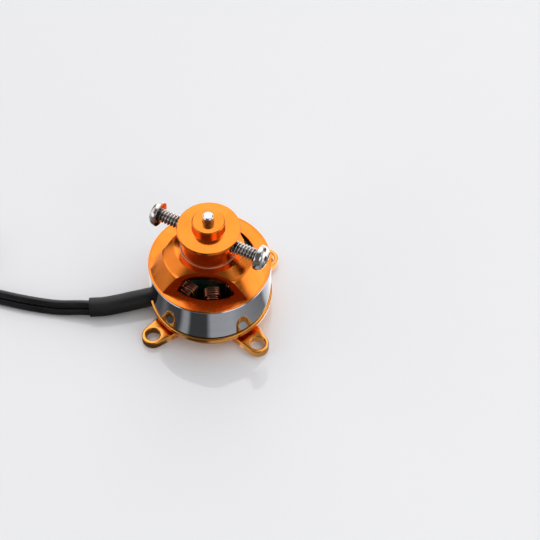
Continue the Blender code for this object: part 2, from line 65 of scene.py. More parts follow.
BASE_LOW, BASE_HIGH = node_box("mount_base")
RING_LOW, RING_HIGH = node_box("flux_ring")
BELL_LOW, BELL_HIGH = node_box("bell")
HUB_LOW, HUB_HIGH = node_box("prop_saver_hub")
SHAFT_LOW, SHAFT_HIGH = node_box("shaft")
CORE_LOW, CORE_HIGH = node_box("stator_core")
CAN_RADIUS = RING_HIGH.x

ROUND = 160
SPLINE_STEPS = 40
BASE_DISC_RADIUS = 11.65
BASE_BODY_RADIUS = 10.0
BASE_DISC_BOTTOM = 2.8
EAR_THICKNESS = 1.7
EAR_HOLE_CIRCLE = 13.95
EAR_HOLE_RADIUS = 1.35
EAR_TIP_RADIUS = 2.1
EAR_ROOT_HALF_WIDTH = 2.95
EAR_ROOT_REACH = 8.0
EAR_ANGLES = (45, 135, 225, 315)
BASE_BORE = 3.23
UNDERSIDE_RECESS = (2.75, 1.0)

CAN_SEGMENTS = 200
RING_INNER_RADIUS = 10.4
RING_CHAMFERS = (0.2, 0.18)
BELL_LIP_TOP = 13.0
BELL_LIP_INNER = 11.05
BELL_LEDGE_TOP = 12.95
BELL_WINDOW_RADIUS = 8.72
BELL_SHOULDER = (8.6, 16.6)
BELL_CROWN_RADIUS = 6.4
BELL_CEILING = (5.0, 16.2)
BELL_HAUNCH = (7.9, 15.2)
BELL_BOSS = (2.6, 15.2)
ARM_BOTTOM = 12.45
ARM_ANGLES = (90, 210, 330)
WINDOW_NEAR = 6.2
WINDOW_CURVE = 19.0
SHAFT_BORE = 1.02

HUB_BODY_RADIUS = 5.2
HUB_FLANGE_RADIUS = 5.8
HUB_FLANGE = (22.6, 23.3)
HUB_BOSS_RADIUS = 3.0

SCREW_HEIGHT = 20.95
SCREW_ANGLES = (-22.5, 157.5)
SCREW_RADIUS = 1.25
SCREW_ROOT_RADIUS = 0.93
SCREW_PITCH = 0.6
SCREW_HEAD_RADIUS = 2.38
SCREW_SPAN = (1.06, 10.05, 11.85)
THREAD_CREST = 1.35
THREAD_FLANK = 3.2
THREAD_TIP_SLOPE = 0.9
HEAD_RIM = 0.36
HEAD_ROUNDING = 0.8
DOME_STEPS = 18
CROSS_SECTIONS = ((0.4, 1.95, 0.5), (-1.2, 0.85, 0.26))
CROSS_TURN = 20

TEETH = 9
TOOTH_HALF = (0.76, 3.06)
COIL_REACH = (4.98, 8.08)
COIL_WIRE_RADIUS = 0.2
COIL_LAYERS = 2
COIL_TURNS = 6
COIL_LAYER_PITCHES = (1.05, 1.94)
COIL_ROUNDING = 0.72
COIL_SINK = 0.2
COIL_BULGE = 0.25

SLEEVE_RADIUS = 1.86
SLEEVE_BORE = 1.62
SLEEVE_RIM = 0.11
SLEEVE_HUG = 0.012
SLEEVE_SIDES = 40
SLEEVE_ROUTE = (
    (-8.9, -0.9, 2.15), (-11.5, -1.8, 2.15), (-14.2, -2.75, 2.1),
    (-17.0, -3.75, 2.0), (-19.8, -4.6, 1.92), (-22.5, -5.05, 1.9),
)
WIRE_RADIUS = 0.75
WIRE_PITCH = 1.55
IN_SLEEVE = {1: (0.0, 0.87), 2: (0.75, -0.42), 3: (-0.75, -0.42)}
GROUND_HEIGHT = WIRE_RADIUS + 0.01
BUNDLE_ROUTE = (
    (-22.85, -5.05), (-25.5, -5.1), (-28.3, -5.07), (-32.2, -4.84), (-36.1, -4.4),
    (-40.1, -3.76), (-46.0, -2.84), (-55.7, -1.48),
)
FLATTENS = (18.0, 25.5)
LIFTS = (25.5, 31.0)
SLEEVE_END_LIFT = 0.75
SETTLES = 7.0
COIL_LIFT = 0.5
LEAD_TURN_RADIUS = 7.25
LEAD_TURN_POINTS = 36
TURN_DROPS = (0.0, 45.0)
TURN_CLIMBS = (195.0, 300.0)
LEAD_TOP = 2.78
TAIL_LENGTHS = {3: 19.5, 1: 14.5, 2: 9.5}
TAIL_FAN = 3.0
TAIL_POINTS = 9
CONNECTOR_RADIUS = 1.3
CONNECTOR_LENGTH = 12.0
CONNECTOR_HEIGHT = CONNECTOR_RADIUS + 0.02
CONNECTOR_GAP = 0.3
PLUG_FOOT = 5.0
TIE_WIDTH = 2.4
TIE_THICKNESS = 0.45
TIE_SLACK = 0.77


# Mesh helpers

def add_object(name, data):
    made = bpy.data.objects.new(name, data)
    bpy.context.scene.collection.objects.link(made)
    return made


def polar(radius, degrees):
    angle = math.radians(degrees)
    return radius * math.cos(angle), radius * math.sin(angle)


def outward(mesh, merge_within=0.0):
    """Turns a mesh's faces to point out, after merging points that lie within a distance in metres."""
    work = bmesh.new()
    work.from_mesh(mesh)
    if merge_within:
        bmesh.ops.remove_doubles(work, verts=work.verts, dist=merge_within)
    bmesh.ops.recalc_face_normals(work, faces=work.faces)
    work.to_mesh(mesh)
    work.free()
    return mesh


def mesh_of(name, points, faces):
    """A mesh from points in millimetres, with its faces turned to point out."""
    mesh = bpy.data.meshes.new(name)
    mesh.from_pydata([[value * MM for value in point] for point in points], [], faces)
    return outward(mesh)


def solid(name, points, faces, sharp_angle=28):
    """An object from points in millimetres and faces, smooth but for its sharp edges."""
    return smoothed(add_object(name, mesh_of(name, points, faces)), sharp_angle)


def tube_faces(rings, sides, closed=False):
    """Faces between rings of points, with flat ends unless the last ring joins the first."""
    faces = []
    for ring in range(rings if closed else rings - 1):
        here, ahead = ring * sides, (ring + 1) % rings * sides
        for step in range(sides):
            after = (step + 1) % sides
            faces.append((here + step, here + after, ahead + after, ahead + step))
    if not closed:
        faces += [tuple(range(sides)), tuple(range((rings - 1) * sides, rings * sides))]
    return faces


def filleted(profile, steps):
    """(radius, height, fillet) corners as (radius, height) points, with each corner rounded to its fillet."""
    found = []
    for place, (radius, height, fillet) in enumerate(profile):
        here = Vector((radius, height))
        if fillet == 0:
            found.append((radius, height))
            continue
        before = (Vector(profile[place - 1][:2]) - here).normalized()
        after = (Vector(profile[(place + 1) % len(profile)][:2]) - here).normalized()
        half = before.angle(after) / 2
        centre = here + (before + after).normalized() * fillet / math.sin(half)
        first = here + before * fillet / math.tan(half) - centre
        last = here + after * fillet / math.tan(half) - centre
        sweep = first.angle(last)
        for step in range(steps + 1):
            share = step / steps
            spot = first * math.sin((1 - share) * sweep) + last * math.sin(share * sweep)
            found.append(tuple(centre + spot / math.sin(sweep)))
    return found


def turned(name, corners, segments=ROUND, steps=4):
    """A solid turned about Z from (radius, height, fillet) corners: a closed outline, or one that starts and
    ends on the axis. Each point on the axis becomes one vertex."""
    points, rings, faces = [], [], []
    for radius, height in filleted(corners, steps):
        count = 1 if radius < 1e-6 else segments
        rings.append(range(len(points), len(points) + count))
        points += [(*polar(radius, 360 * step / segments), height) for step in range(count)]
    pairs = list(zip(rings, rings[1:]))
    if corners[0][0] > 0:
        pairs.append((rings[-1], rings[0]))
    for upper, lower in pairs:
        for step in range(segments):
            after = (step + 1) % segments
            face = (upper[step % len(upper)], lower[step % len(lower)],
                    lower[after % len(lower)], upper[after % len(upper)])
            faces.append(tuple(dict.fromkeys(face)))
    return solid(name, points, faces)


def smoothed(made, degrees=28):
    made.data.shade_smooth()
    made.data.set_sharp_from_angle(angle=math.radians(degrees))
    return made


def evaluated_mesh(made):
    """A new mesh of an object, as its modifiers or its curve settings shape it."""
    bpy.context.view_layer.update()
    return bpy.data.meshes.new_from_object(made.evaluated_get(bpy.context.evaluated_depsgraph_get()))


def baked(made, *spent):
    """Applies an object's modifiers and removes what they used."""
    mesh = evaluated_mesh(made)
    made.modifiers.clear()
    made.data = mesh
    for other in spent:
        bpy.data.objects.remove(other, do_unlink=True)
    return smoothed(made)


def combine(target, others, operation):
    """Joins or cuts a solid with others, and removes them."""
    for other in others:
        boolean = target.modifiers.new("boolean", "BOOLEAN")
        boolean.operation = operation
        boolean.object = other
        boolean.solver = "EXACT"
    return baked(target, *others)


def add_bevel(made, width, segments, degrees):
    """Adds a modifier that rounds edges sharper than an angle to a width in millimetres."""
    bevel = made.modifiers.new("edges", "BEVEL")
    bevel.width = width * MM
    bevel.segments = segments
    bevel.limit_method = "ANGLE"
    bevel.angle_limit = math.radians(degrees)


def add_line(curve, points):
    """Adds straight stretches through points in millimetres to a curve."""
    spline = curve.splines.new("POLY")
    spline.points.add(len(points) - 1)
    for point, spot in zip(spline.points, points):
        point.co = (*(value * MM for value in (*spot, 0.0)[:3]), 1.0)
    return spline


def plate(name, outlines, bottom, top, edge):
    """A flat solid between two heights, from a closed outline and any hole outlines, with round edges."""
    curve = bpy.data.curves.new(name, "CURVE")
    curve.dimensions = "2D"
    curve.fill_mode = "BOTH"
    curve.extrude = ((top - bottom) / 2 - edge) * MM
    curve.bevel_depth = edge * MM
    curve.bevel_resolution = 3
    curve.offset = -edge * MM
    for outline in outlines:
        add_line(curve, outline).use_cyclic_u = True
    guide = add_object(f"{name}_guide", curve)
    mesh = outward(evaluated_mesh(guide), 1e-6)
    bpy.data.objects.remove(guide, do_unlink=True)
    mesh.transform(Matrix.Translation((0, 0, (top + bottom) / 2 * MM)))
    mesh.name = name
    return smoothed(add_object(name, mesh))


def arc(centre, radius, start, end, steps):
    """Points on an arc, with both ends, in millimetres and degrees."""
    found = []
    for step in range(steps + 1):
        x, y = polar(radius, start + (end - start) * step / steps)
        found.append((centre[0] + x, centre[1] + y))
    return found


def rectangle(low_x, high_x, half_y):
    """The corners of a rectangle that lies evenly about the X axis."""
    return [(low_x, -half_y), (high_x, -half_y), (high_x, half_y), (low_x, half_y)]


def rounded_rectangle(half_x, half_y, corner, steps=4):
    points = []
    for sign_x, sign_y, start in ((1, 1, 0), (-1, 1, 90), (-1, -1, 180), (1, -1, 270)):
        centre = (sign_x * (half_x - corner), sign_y * (half_y - corner))
        points += arc(centre, corner, start, start + 90, steps)
    return points


def radial_matrix(degrees, height):
    """Turns a piece made along +Z so that it points outward from the shaft at this angle and height."""
    aim = Matrix.Rotation(math.radians(degrees), 4, "Z") @ Matrix.Rotation(math.radians(90), 4, "Y")
    return Matrix.Translation((0.0, 0.0, height * MM)) @ aim


def beside(line):
    """Each point of a line with its direction there and the way travelled so far."""
    travelled = 0.0
    for before, here, after in zip([line[0], *line], line, [*line[1:], line[-1]]):
        travelled += (here - before).length
        yield here, (after - before).normalized(), travelled


def tube_along(name, points, radius, sides):
    """A round tube swept along points in millimetres, as one closed mesh."""
    verts = []
    side = None
    for here, along, _ in beside([Vector(point) for point in points]):
        if side is None:
            side = along.orthogonal().normalized()
        side = (side - along * side.dot(along)).normalized()
        up = along.cross(side)
        for step in range(sides):
            angle = TURN * step / sides
            verts.append(here + (side * math.cos(angle) + up * math.sin(angle)) * radius)
    return solid(name, verts, tube_faces(len(points), sides), 60)


def smooth_spline(route, samples):
    """Evenly spaced points on a Catmull-Rom curve through the route's points, in millimetres."""
    points = [Vector(point) for point in route]
    padded = [points[0] * 2 - points[1], *points, points[-1] * 2 - points[-2]]
    dense = []
    for before, start, end, after in zip(padded, padded[1:], padded[2:], padded[3:]):
        slope = end - before
        bend = 2 * before - 5 * start + 4 * end - after
        twist = 3 * start - before - 3 * end + after
        for step in range(SPLINE_STEPS):
            t = step / SPLINE_STEPS
            dense.append(0.5 * (2 * start + slope * t + bend * t * t + twist * t ** 3))
    dense.append(points[-1])
    lengths = [travelled for _, _, travelled in beside(dense)]
    found = []
    place = 0
    for step in range(samples):
        wanted = lengths[-1] * step / (samples - 1)
        while place < len(dense) - 2 and lengths[place + 1] < wanted:
            place += 1
        span = max(lengths[place + 1] - lengths[place], 1e-9)
        found.append(dense[place].lerp(dense[place + 1], (wanted - lengths[place]) / span))
    return found


def share_between(value, span):
    """How far a value has gone through a span, from 0 before it to 1 after it, with soft ends."""
    share = min(max((value - span[0]) / (span[1] - span[0]), 0.0), 1.0)
    return share * share * (3 - 2 * share)


# Materials

def add_node(tree, kind, links=None, **settings):
    """A new node with its settings, and its inputs linked from sockets or set to values."""
    made = tree.nodes.new(f"ShaderNode{kind}")
    for key, value in settings.items():
        setattr(made, key, value)
    for key, value in (links or {}).items():
        if isinstance(value, bpy.types.NodeSocket):
            tree.links.new(value, made.inputs[key])
        else:
            made.inputs[key].default_value = value
    return made


MATERIALS = {}
DEEP_DYE = (0.9, 0.81, 0.7)


class Paint:
    """A node material, kept by its name: a Principled shader and the nodes that feed it."""

    def __init__(self, name, **values):
        self.material = MATERIALS[name] = bpy.data.materials.new(name)
        self.material.use_nodes = True
        self.tree = self.material.node_tree
        self.shader = self.tree.nodes["Principled BSDF"]
        for key, value in values.items():
            self.shader.inputs[key.replace("_", " ")].default_value = value
        self.place = self.node("TexCoord").outputs["Object"]
        self.normal = None

    def node(self, kind, links=None, **settings):
        return add_node(self.tree, kind, links, **settings)

    def math(self, operation, first, second=0.0):
        return self.node("Math", {0: first, 1: second}, operation=operation).outputs[0]

    def noise(self, scale, detail=3.0, stretch=None, roughness=0.5):
        """Noise from 0 to 1 whose grains are about 1/scale metres across."""
        source = self.place
        if stretch:
            source = self.node("Mapping", {"Vector": source, "Scale": stretch}).outputs["Vector"]
        links = {"Vector": source, "Scale": scale, "Detail": detail, "Roughness": roughness}
        return self.node("TexNoise", links).outputs["Fac"]

    def turning(self, scale):
        """Fine rings about the Z axis, as a lathe tool leaves them on flat and on upright faces."""
        parts = self.node("SeparateXYZ", {0: self.place}).outputs
        across = self.math("POWER", parts["X"], 2.0)
        deep = self.math("POWER", parts["Y"], 2.0)
        radius = self.math("SQRT", self.math("ADD", across, deep))
        line = self.math("MULTIPLY", self.math("ADD", radius, parts["Z"]), scale)
        links = {"W": line, "Scale": 1.0, "Detail": 2.0}
        return self.node("TexNoise", links, noise_dimensions="1D").outputs["Fac"]

    def between(self, source, low, high, start=0.3, end=0.7):
        links = {"Value": source, "From Min": start, "From Max": end, "To Min": low, "To Max": high}
        return self.node("MapRange", links).outputs["Result"]

    def colour_between(self, source, dark, light, start=0.3, end=0.7):
        ramp = self.node("ValToRGB", {"Fac": source})
        for element, place, colour in zip(ramp.color_ramp.elements, (start, end), (dark, light)):
            element.position = place
            element.color = (*colour, 1.0)
        return ramp.outputs["Color"]

    def paint_shade_in_hollows(self, colour, hollow_shade, distance, start, end):
        """Painted shade: a colour that turns to a darker shade colour where the surface is closed in within
        this many millimetres.
        """
        around = self.node("AmbientOcclusion", {"Distance": distance * MM}, samples=8)
        openness = self.between(around.outputs["AO"], 0.0, 1.0, start, end)
        links = {"Factor": openness, "A": (*hollow_shade, 1.0), "B": colour}
        return self.node("Mix", links, data_type="RGBA").outputs["Result"]

    def set(self, key, source):
        self.tree.links.new(source, self.shader.inputs[key])

    def bump(self, height, distance, strength):
        """Adds relief of this depth in millimetres."""
        links = {"Height": height, "Distance": distance * MM, "Strength": strength}
        if self.normal:
            links["Normal"] = self.normal
        self.normal = self.node("Bump", links).outputs["Normal"]
        self.set("Normal", self.normal)

    def round_tangent(self):
        made = self.node("Tangent", direction_type="RADIAL", axis="Z")
        self.set("Tangent", made.outputs["Tangent"])


def shaded(colour, factor):
    return tuple(min(value * factor, 1.0) for value in colour)


def anodised(name, colour, roughness):
    """Dyed, fine-turned aluminium: a strong uneven colour, lathe rings, pits and light scratches."""
    paint = Paint(name, Metallic=1.0, Anisotropic=0.4, Specular_IOR_Level=0.5)
    paint.round_tangent()
    deep = [value * share for value, share in zip(colour, DEEP_DYE)]
    paint.set("Base Color", paint.colour_between(paint.noise(240.0, 4.0), deep, colour))
    rings = paint.turning(9000.0)
    scratches = paint.noise(900.0, 5.0, (1.0, 7.0, 1.0), 0.7)
    turned_gloss = paint.between(rings, roughness - 0.03, roughness + 0.03)
    paint.set("Roughness", paint.math("ADD", turned_gloss, paint.between(scratches, -0.03, 0.04)))
    paint.bump(rings, 0.0015, 0.4)
    paint.bump(paint.noise(5200.0, 2.0), 0.0008, 0.4)


def metal(name, colour, roughness, spread=0.05, rings=9000.0, ring_depth=0.002, tone=0.85, anisotropic=0.0,
          hollow_shade=None):
    """Bare or plated metal with turned rings, a little grain and soft handling marks, and painted shade in its
    hollows when a hollow shade colour is given.
    """
    paint = Paint(name, Metallic=1.0, Anisotropic=anisotropic)
    if anisotropic:
        paint.round_tangent()
    marks = paint.noise(420.0, 5.0, (1.0, 1.0, 2.5), 0.6)
    base = paint.colour_between(marks, shaded(colour, tone), colour)
    # Painted shade: where the surface is closed in, the colour turns to the hollow shade colour.
    if hollow_shade:
        base = paint.paint_shade_in_hollows(base, hollow_shade, 1.3, 0.35, 0.9)
    paint.set("Base Color", base)
    grain = paint.noise(2600.0, 4.0, None, 0.65)
    paint.set("Roughness", paint.between(grain, roughness - spread, roughness + spread))
    if ring_depth:
        paint.bump(paint.turning(rings), ring_depth, 0.6)
    paint.bump(grain, 0.0012, 0.4)


def dull(name, colour, roughness, spread, grain_scale, grain_depth, lift=1.8, sheen=0.0):
    """Rubber, plastic or enamel: a fine grain, uneven gloss and slightly paler worn patches."""
    paint = Paint(name, Metallic=0.0, Sheen_Weight=sheen)
    patches = paint.noise(330.0, 4.0)
    paint.set("Base Color", paint.colour_between(patches, colour, shaded(colour, lift), 0.35, 0.75))
    paint.set("Roughness", paint.between(patches, roughness - spread, roughness + spread))
    paint.bump(paint.noise(grain_scale, 3.0), grain_depth, 0.7)


def enamelled_copper():
    """Lacquered copper wire, with painted shade that turns it nearly black in the hollows between its turns."""
    paint = Paint("copper_winding", Metallic=0.85, Coat_Weight=1.0, Coat_Roughness=0.03)
    tone = paint.colour_between(paint.noise(700.0, 3.0), (0.32, 0.09, 0.04), (0.80, 0.34, 0.16))
    # Painted shade: nearly black where the turns close in on one another.
    paint.set("Base Color", paint.paint_shade_in_hollows(tone, (0.008, 0.004, 0.003), 0.45, 0.66, 0.97))
    paint.set("Roughness", paint.between(paint.noise(1600.0), 0.10, 0.18))
    paint.bump(paint.noise(2500.0, 2.0), 0.0015, 0.5)


def epoxy_coat():
    """Dark green powder epoxy over the stator's laminations, with the orange-peel skin that it cures to."""
    paint = Paint("stator_epoxy", Coat_Weight=0.35, Coat_Roughness=0.2)
    tone = paint.noise(800.0, 3.0)
    paint.set("Base Color", paint.colour_between(tone, (0.004, 0.022, 0.014), (0.012, 0.06, 0.038)))
    paint.set("Roughness", paint.between(tone, 0.3, 0.5))
    paint.bump(paint.noise(1900.0, 2.0), 0.02, 0.7)
    links = {"Vector": paint.place, "Scale": 700.0, "Distortion": 0.3}
    layers = paint.node("TexWave", links, bands_direction="Z")
    paint.bump(layers.outputs["Fac"], 0.006, 0.5)


def hub_foot_highlight():
    """A painted highlight on the hub's foot: a pale ring, rougher than the dyed faces round it, that stands in
    for the bright line of light there.
    """
    paint = Paint("hub_foot_highlight", Metallic=0.7)
    rings = paint.turning(7000.0)
    tone = paint.noise(500.0, 4.0)
    paint.set("Base Color", paint.colour_between(tone, (0.72, 0.40, 0.28), (0.90, 0.62, 0.50)))
    paint.set("Roughness", paint.between(rings, 0.38, 0.55))
    paint.bump(rings, 0.002, 0.5)


hub_foot_highlight()
anodised("orange_anodised", (0.96, 0.26, 0.035), 0.17)
anodised("base_anodised", (0.97, 0.42, 0.09), 0.18)
metal("polished_steel", (0.62, 0.63, 0.66), 0.06, spread=0.02, rings=5000.0, ring_depth=0.0006, tone=0.92)
metal("shaft_steel", (0.72, 0.72, 0.73), 0.2, spread=0.06, anisotropic=0.4)
# The screws get painted shade in their cross recesses and thread grooves.
metal("nickel_screw", (0.74, 0.71, 0.67), 0.09, spread=0.04, ring_depth=0, tone=0.8,
      hollow_shade=(0.05, 0.042, 0.035))
metal("magnet", (0.24, 0.24, 0.26), 0.3, spread=0.08, ring_depth=0, tone=0.7)
epoxy_coat()
enamelled_copper()
metal("bearing_steel", (0.62, 0.62, 0.64), 0.16, anisotropic=0.4)
metal("brass_cage", (0.78, 0.56, 0.25), 0.28, spread=0.08, ring_depth=0, tone=0.75)
metal("brass_tube", (0.80, 0.60, 0.28), 0.25, 0.07, rings=7000.0, ring_depth=0.003, tone=0.8, anisotropic=0.4)
metal("spring_steel", (0.20, 0.20, 0.22), 0.3, spread=0.08, ring_depth=0, tone=0.65)
dull("heat_shrink", (0.0065, 0.0065, 0.007), 0.5, 0.07, 2600.0, 0.006)
dull("wire_silicone", (0.0045, 0.0045, 0.005), 0.3, 0.08, 1700.0, 0.004, sheen=0.05)
metal("connector_gold", (0.92, 0.66, 0.26), 0.18, anisotropic=0.3)
dull("tie_nylon", (0.014, 0.014, 0.015), 0.42, 0.06, 3000.0, 0.004, lift=1.6)


# Camera

CAMERA_PLACE = (23.15, -159.32, 239.31)
CAMERA_AZIMUTH = 4.29
CAMERA_ELEVATION = 54.94
CAMERA_ROLL = 1.03
CAMERA_LENS = 100.0


def make_camera():
    camera = add_object("camera", bpy.data.cameras.new("camera"))
    camera.data.lens = CAMERA_LENS
    camera.data.clip_start = 0.01
    turn = Matrix.Rotation(math.radians(CAMERA_AZIMUTH), 4, "Z")
    tip = Matrix.Rotation(math.radians(90 - CAMERA_ELEVATION), 4, "X")
    roll = Matrix.Rotation(math.radians(CAMERA_ROLL), 4, "Z")
    camera.matrix_world = Matrix.Translation(Vector(CAMERA_PLACE) * MM) @ turn @ tip @ roll
    bpy.context.scene.camera = camera


# Leads

HEADING = (Vector(BUNDLE_ROUTE[-1]) - Vector(BUNDLE_ROUTE[-2])).normalized()
LEFT = Vector((-HEADING.y, HEADING.x))
ENTRY = Vector(BUNDLE_ROUTE[-1])
TURN_CENTRE = ENTRY - LEFT * LEAD_TURN_RADIUS


def ribbon_side(number):
    """A wire's place across the flat ribbon that is wound into the turn, to the left of its middle."""
    return (0.0, WIRE_PITCH, -WIRE_PITCH)[number - 1]


def wire_offset(number, travelled):
    """Where a wire lies in the bundle: how far to the left of its middle and how high its centre is."""
    side = WIRE_PITCH / 2 * (1 + share_between(travelled, FLATTENS))
    settling = SLEEVE_END_LIFT * (1 - share_between(travelled, (0.0, SETTLES)))
    height = GROUND_HEIGHT + settling + COIL_LIFT * share_between(travelled, LIFTS)
    if number == 1:
        return 0.0, height + math.sqrt(max(WIRE_PITCH ** 2 - side ** 2, 0.0))
    return (side if number == 2 else -side), height


def sleeve_stretch(number):
    """A wire's points inside the sleeve."""
    side, up = IN_SLEEVE[number]
    return [here + Vector((-along.y * side, along.x * side, up))
            for here, along, _ in beside(smooth_spline(SLEEVE_ROUTE, 9)[:-1])]


def bundle_stretch(number):
    """A wire's points from the sleeve to the turn."""
    found = []
    for here, along, travelled in beside(smooth_spline([(*spot, 0.0) for spot in BUNDLE_ROUTE], 30)):
        side, height = wire_offset(number, travelled)
        found.append(Vector((here.x - along.y * side, here.y + along.x * side, height)))
    return found


def turn_stretch(number):
    """One whole turn, which starts under the tie, drops to the ground and climbs over its own start."""
    radius = LEAD_TURN_RADIUS + ribbon_side(number)
    found = []
    for step in range(1, LEAD_TURN_POINTS + 1):
        angle = 360 * step / LEAD_TURN_POINTS
        across, along = polar(radius, angle)
        spot = TURN_CENTRE + LEFT * across + HEADING * along
        dropped = COIL_LIFT * (1 - share_between(angle, TURN_DROPS))
        climbed = (LEAD_TOP - GROUND_HEIGHT) * share_between(angle, TURN_CLIMBS)
        found.append(Vector((*spot, GROUND_HEIGHT + dropped + climbed)))
    return found


def tail_spot(number, share, start):
    """A point on a wire's end, from the turn's outside at 0 to its connector at 1."""
    side = ribbon_side(number)
    fan = TAIL_FAN * side / WIRE_PITCH
    ease = share_between(share, (0.0, 1.0))
    reach = start + (TAIL_LENGTHS[number] - start) * share
    spot = ENTRY + HEADING * reach + LEFT * (side + (fan - side) * ease)
    return Vector((*spot, LEAD_TOP + (CONNECTOR_HEIGHT - LEAD_TOP) * ease))


def turn_exit(number):
    """How far from the tangent point a wire is clear of the turn's outside."""
    outside = LEAD_TURN_RADIUS + WIRE_PITCH + WIRE_RADIUS
    return math.sqrt(outside ** 2 - (LEAD_TURN_RADIUS + ribbon_side(number) - WIRE_RADIUS) ** 2)


def tail_stretch(number):
    start = turn_exit(number)
    first = ENTRY + HEADING * start / 2 + LEFT * ribbon_side(number)
    found = [Vector((*first, LEAD_TOP))]
    found += [tail_spot(number, step / TAIL_POINTS, start) for step in range(TAIL_POINTS + 1)]
    lead_in = Vector((*HEADING, 0.0))
    found += [found[-1] + lead_in * 1.2, found[-1] + lead_in * 2.4]
    return found


def make_wire(number):
    """One wire from inside the motor to inside its connector, on one line."""
    points = [*sleeve_stretch(number), *bundle_stretch(number), *turn_stretch(number), *tail_stretch(number)]
    curve = bpy.data.curves.new(f"lead_{number}", "CURVE")
    curve.dimensions = "3D"
    curve.bevel_depth = WIRE_RADIUS * MM
    curve.bevel_resolution = 6
    curve.use_fill_caps = True
    add_line(curve, points).use_smooth = True
    return add_object(f"lead_{number}", curve)


def finish_piece(piece, body, slot, *nodes, look=None):
    """Gives a piece its material, hides the CAD nodes it stands in for, and hangs it on the body it rides on.
    """
    piece.data.materials.clear()
    piece.data.materials.append(MATERIALS[look or slot])
    if nodes:
        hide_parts(*nodes)
    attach(piece, body)
    return piece


def make_sleeve():
    """The heat-shrink tube over the three wires: a hollow tube with rounded rims that hugs them a little."""
    line = [(here, along) for here, along, _ in beside(smooth_spline(SLEEVE_ROUTE, 44))]
    half_wall = (SLEEVE_RADIUS - SLEEVE_BORE) / 2
    rim = [(SLEEVE_RIM * out, half_wall * over) for over, out in arc((0, 0), 1.0, 45, 135, 2)]
    (first, behind), (last, ahead) = line[0], line[-1]
    sections = [(here, along, SLEEVE_RADIUS) for here, along in line]
    sections += [(last + ahead * out, ahead, SLEEVE_BORE + half_wall + over) for out, over in rim]
    sections += [(here, along, SLEEVE_BORE) for here, along in reversed(line)]
    sections += [(first - behind * out, behind, SLEEVE_BORE + half_wall - over) for out, over in rim]
    verts = []
    for here, along, radius in sections:
        side = Vector((-along.y, along.x, 0.0)).normalized()
        up = along.cross(side)
        for step in range(SLEEVE_SIDES):
            angle = TURN * step / SLEEVE_SIDES
            hug = 1 - SLEEVE_HUG * (1 - math.cos(3 * (angle - math.pi / 2))) * (radius > SLEEVE_BORE)
            verts.append(here + (side * math.cos(angle) + up * math.sin(angle)) * radius * hug)
    sleeve = solid("sleeve", verts, tube_faces(len(sections), SLEEVE_SIDES, closed=True), 50)
    return finish_piece(sleeve, "stator", "heat_shrink", "lead_sleeve")


def make_connector(number):
    """A gold bullet plug with a slit, sprung barrel, and the heat-shrink over its solder cup."""
    direction = Vector((*HEADING, 0.0)).to_track_quat("Z", "Y").to_matrix().to_4x4()
    fan = TAIL_FAN * ribbon_side(number) / WIRE_PITCH
    spot = ENTRY + HEADING * (TAIL_LENGTHS[number] + CONNECTOR_GAP) + LEFT * fan
    place = Matrix.Translation(Vector((*spot, CONNECTOR_HEIGHT)) * MM) @ direction
    tip = CONNECTOR_LENGTH
    pin = turned(f"plug_{number}", (
        (0.0, tip, 0), (0.62, tip, 0.1), (0.86, tip - 0.7, 0.2), (1.0, tip - 2.6, 0.6),
        (0.84, tip - 4.8, 0.2), (0.84, tip - 5.2, 0.05), (1.05, tip - 5.2, 0.06),
        (1.05, PLUG_FOOT, 0), (0.0, PLUG_FOOT, 0),
    ), 48)
    slits = []
    for turn in (45, 135):
        slit = plate(f"slit_{number}_{turn}", [rectangle(-1.6, 1.6, 0.07)], tip - 4.3, tip - 0.9, 0.0)
        slit.matrix_world = Matrix.Rotation(math.radians(turn), 4, "Z")
        slits.append(slit)
    combine(pin, slits, "DIFFERENCE")
    shrink = turned(f"plug_shrink_{number}", (
        (1.14, 6.35, 0.04), (CONNECTOR_RADIUS - 0.04, 6.25, 0.05), (CONNECTOR_RADIUS, 5.2, 0.3),
        (CONNECTOR_RADIUS - 0.05, 2.2, 0.6), (0.96, 0.9, 0.5), (0.9, -0.9, 0.05), (0.75, -0.9, 0.03),
        (0.78, 0.9, 0), (1.06, 2.2, 0), (1.06, 6.35, 0.02),
    ), 48)
    pin.matrix_world = shrink.matrix_world = place
    finish_piece(pin, "stator", "connector_gold", f"bullet_connector_{number}")
    finish_piece(shrink, "stator", "heat_shrink")
    return pin, shrink


def make_tie():
    """A small cable tie: a strap round the two layers of wires, its head on top and its cut end."""
    low, high = node_box("lead_tie")
    middle_height = (low.z + high.z) / 2
    half_height = (high.z - low.z) / 2
    half_width = WIRE_PITCH + WIRE_RADIUS + TIE_SLACK
    strap = plate("tie", [
        rounded_rectangle(half_width, half_height, 0.9, 6),
        rounded_rectangle(half_width - TIE_THICKNESS, half_height - TIE_THICKNESS, 0.5, 6),
    ], -TIE_WIDTH / 2, TIE_WIDTH / 2, 0.1)
    head = plate("tie_head", [rounded_rectangle(1.9, 1.15, 0.35)], -1.9, 1.9, 0.22)
    head.data.transform(Matrix.Translation((-0.4 * MM, (half_height + 0.75) * MM, 0.0)))
    end = plate("tie_end", [rounded_rectangle(1.7, 0.22, 0.1)], -0.95, 0.95, 0.06)
    end.data.transform(Matrix.Translation((-2.4 * MM, (half_height + 0.95) * MM, 0.0)))
    combine(strap, [head, end], "UNION")
    across = Vector((*LEFT, 0.0))
    up = Vector((0.0, 0.0, 1.0))
    turn = Matrix((across, up, across.cross(up))).transposed().to_4x4()
    strap.matrix_world = Matrix.Translation(Vector((*ENTRY, middle_height)) * MM) @ turn
    return finish_piece(strap, "stator", "tie_nylon", "lead_tie")


def make_leads():
    sleeve = make_sleeve()
    tie = make_tie()
    for number in (1, 2, 3):
        wire = make_wire(number)
        pin, shrink = make_connector(number)
        finish_piece(wire, "stator", "wire_silicone", f"lead_wire_{number}", f"lead_tail_{number}", "lead_coil")


make_camera()
make_leads()


# Motor

